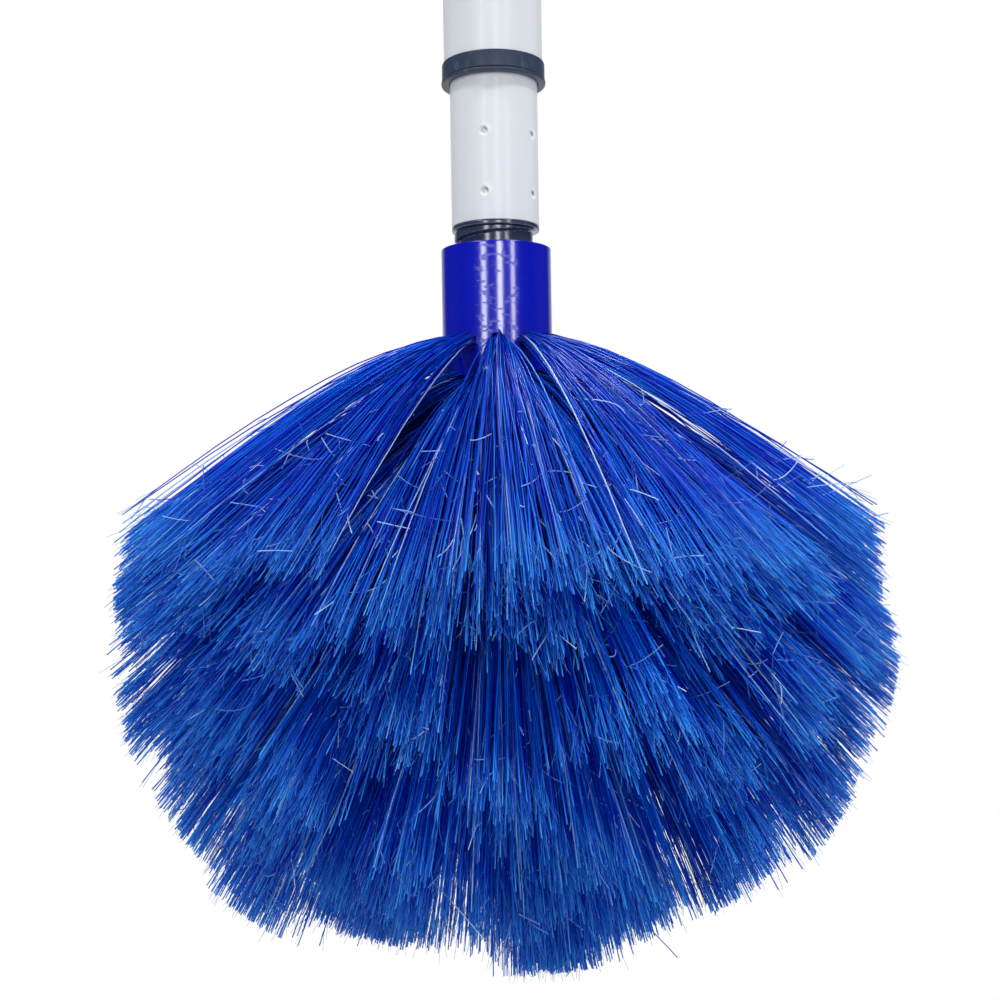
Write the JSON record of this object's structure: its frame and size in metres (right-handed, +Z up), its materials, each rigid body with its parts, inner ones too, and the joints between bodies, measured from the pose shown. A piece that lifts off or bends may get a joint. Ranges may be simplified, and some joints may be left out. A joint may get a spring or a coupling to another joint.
{
  "type": "extendable flick duster",
  "caption": "Domed bristle duster head screwed on the threaded tip of a twist-lock telescopic pole with a grip and hanging eye.",
  "frame": {"origin": "centre of the hanging eye", "axes": "+Z up along the pole as it hangs head down, +Y through the eye towards the wall, -Y towards the viewer"},
  "size_m": [0.1984, 0.1984, 0.8698],
  "materials": {
    "coated_tube": "white powder coat, satin gloss",
    "grey_plastic": "moulded dark grey plastic, satin",
    "grip_rubber": "soft dark grey sleeve, matt",
    "dark_plastic": "moulded dark grey plastic, satin",
    "natural_plastic": "natural moulded plastic",
    "zinc_steel": "zinc plated",
    "blue_stock": "glossy ultramarine moulding with fine turning marks",
    "blue_bristle": "royal blue filament, split and paler at the tips"
  },
  "bodies": {
    "handle": {"outer_tube": "coated_tube", "guide_collar": "grey_plastic", "hand_grip": "grip_rubber", "hang_cap": "grey_plastic"},
    "lock": {"lock_sleeve": "natural_plastic"},
    "cone": {"lock_cone": "natural_plastic"},
    "shaft": {"inner_tube": "coated_tube", "thread_tip": "dark_plastic", "lock_plug": "natural_plastic", "lock_spindle": "zinc_steel", "lock_stop_nut": "zinc_steel"},
    "head": {"brush_stock": "blue_stock", "tufts_upper": "blue_bristle", "tufts_middle": "blue_bristle", "tufts_lower": "blue_bristle", "tufts_end": "blue_bristle"}
  },
  "joints": [
    {"name": "extend", "type": "slide", "parent": "handle", "child": "lock", "axis": [0, 0, -1], "range_m": [-0.0355, 0.49]},
    {"name": "twist_lock", "type": "hinge", "parent": "lock", "child": "shaft", "pos_m": [0, 0, -0.1], "axis": [0, 0, -1], "range_deg": [0, 180]},
    {"name": "cone_travel", "type": "slide", "parent": "lock", "child": "cone", "axis": [0, 0, 1], "range_m": [0, 0.0015]},
    {"name": "head_unscrew", "type": "slide", "parent": "shaft", "child": "head", "axis": [0, 0, -1], "range_m": [0, 0.03]}
  ],
  "couplings": [
    {"joint": "cone_travel", "follows": "twist_lock", "m_per_rad": 0.00047746}
  ]
}
